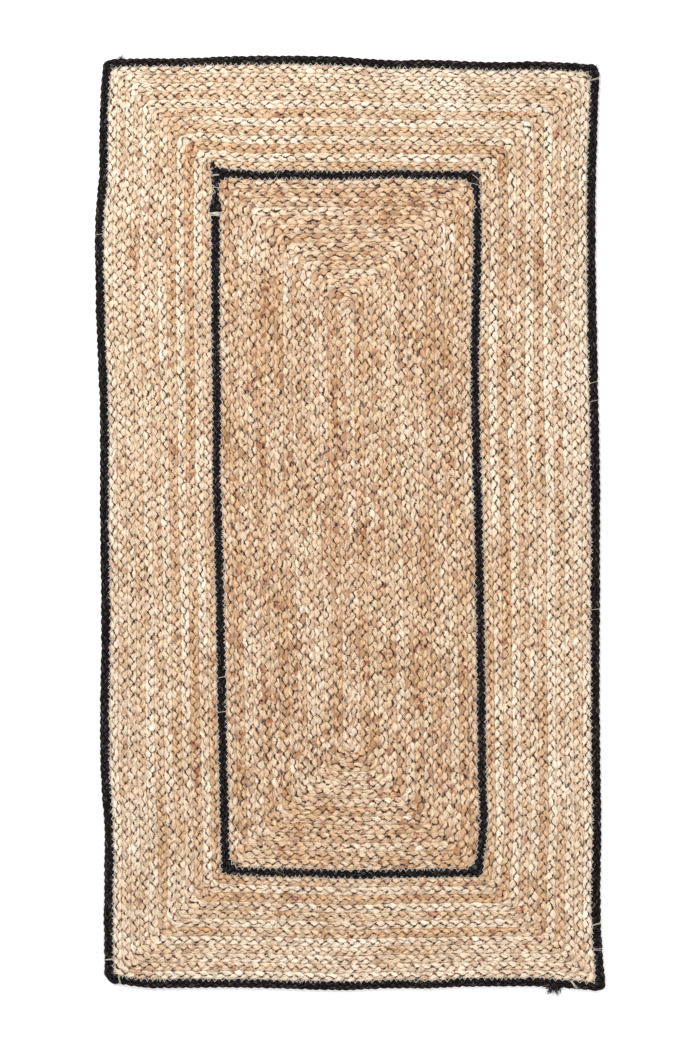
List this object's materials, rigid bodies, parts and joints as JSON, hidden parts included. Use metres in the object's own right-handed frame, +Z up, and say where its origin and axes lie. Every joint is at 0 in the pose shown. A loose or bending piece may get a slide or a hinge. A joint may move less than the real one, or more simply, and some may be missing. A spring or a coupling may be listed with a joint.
{
  "type": "braided jute rug",
  "caption": "Flat rectangular rug of natural jute braid sewn in concentric rounds, with a black braid inner frame and a black braid edge.",
  "frame": {"origin": "middle of the rug's underside, at floor level", "axes": "+X across the rug, +Y along its length, +Z up from the floor through the face"},
  "size_m": [0.7998, 1.4996, 0.0096],
  "materials": {
    "natural_jute": "natural jute fibre, matte with a faint straw sheen",
    "black_jute": "dyed charcoal-black jute fibre, matte",
    "seam_thread": "undyed sewing thread, matte",
    "cream_thread": "cream cotton sewing thread, soft sheen"
  },
  "bodies": {
    "root": {"centre_braid_01": "natural_jute", "centre_braid_02": "natural_jute", "centre_braid_03": "natural_jute", "centre_braid_04": "natural_jute", "centre_braid_05": "natural_jute", "centre_braid_06": "natural_jute", "centre_braid_07": "natural_jute", "centre_braid_08": "natural_jute", "centre_braid_09": "natural_jute", "centre_braid_10": "natural_jute", "centre_braid_11": "natural_jute", "centre_braid_12": "natural_jute", "centre_braid_13": "natural_jute", "centre_braid_14": "natural_jute", "inner_frame_braid": "black_jute", "border_braid_01": "natural_jute", "border_braid_02": "natural_jute", "border_braid_03": "natural_jute", "border_braid_04": "natural_jute", "border_braid_05": "natural_jute", "border_braid_06": "natural_jute", "border_braid_07": "natural_jute", "border_braid_08": "natural_jute", "border_braid_09": "natural_jute", "border_braid_10": "natural_jute", "border_braid_11": "natural_jute", "border_braid_12": "natural_jute", "edge_braid": "black_jute", "centre_seam_needle_thread": "seam_thread", "centre_seam_bobbin_thread": "seam_thread", "border_seam_needle_thread": "seam_thread", "border_seam_bobbin_thread": "seam_thread", "frame_inner_seam_needle_thread": "cream_thread", "frame_inner_seam_bobbin_thread": "cream_thread", "frame_outer_seam_needle_thread": "cream_thread", "frame_outer_seam_bobbin_thread": "cream_thread", "edge_seam_needle_thread": "cream_thread", "edge_seam_bobbin_thread": "cream_thread", "frame_whipping_threads": "cream_thread", "edge_tacking_threads": "cream_thread"}
  },
  "joints": []
}
